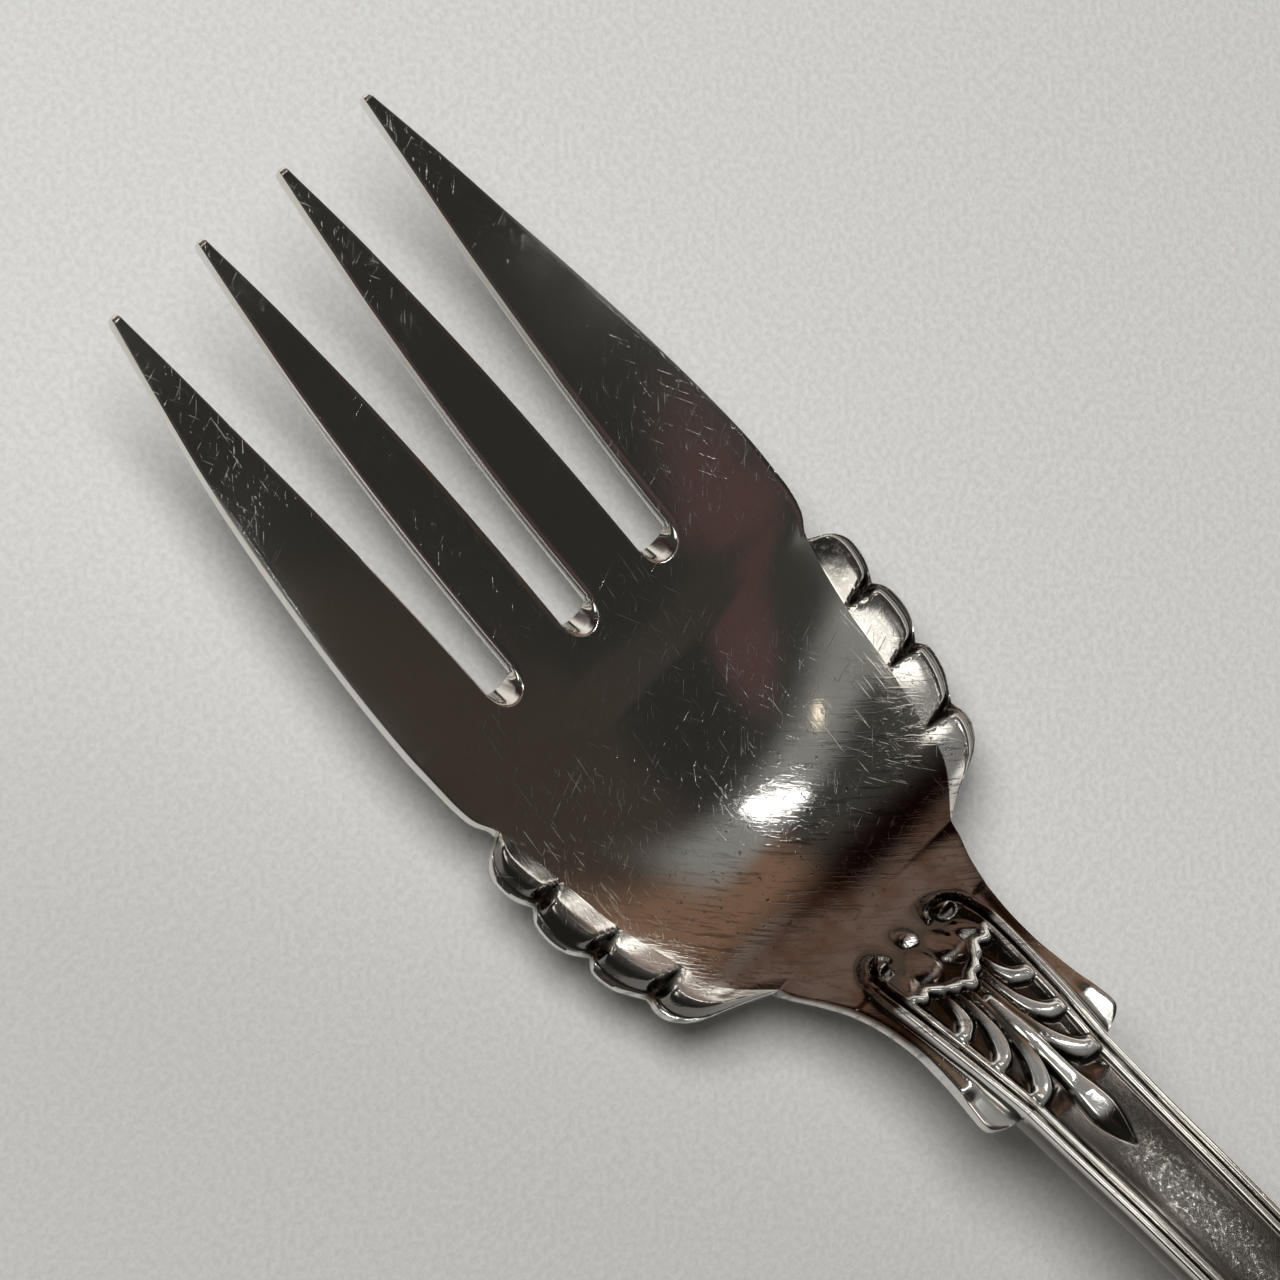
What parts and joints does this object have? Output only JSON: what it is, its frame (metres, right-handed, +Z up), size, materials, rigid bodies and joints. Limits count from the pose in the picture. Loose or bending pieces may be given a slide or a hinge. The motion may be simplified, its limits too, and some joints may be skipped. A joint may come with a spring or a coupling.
{
  "type": "pastry fork",
  "caption": "Pastry fork with tapered tines, a dished palm with scalloped sides, a palmette at the neck and a threaded, arched handle.",
  "frame": {"origin": "middle of the fork's length and width, on the table that it lies on", "axes": "+X along the fork towards the tips of the tines, +Y towards the left-hand side when the tips point away, +Z up, out of the hollow of the palm"},
  "size_m": [0.152, 0.0298, 0.011],
  "materials": {
    "silver": "polished silver, worn, with fine scratches and dark tarnish in the ornament"
  },
  "bodies": {
    "root": {"tine_outer_left": "silver", "tine_inner_left": "silver", "tine_inner_right": "silver", "tine_outer_right": "silver", "palm": "silver", "scallops_left": "silver", "scallops_right": "silver", "neck": "silver", "stem": "silver", "handle_end": "silver"}
  },
  "joints": []
}
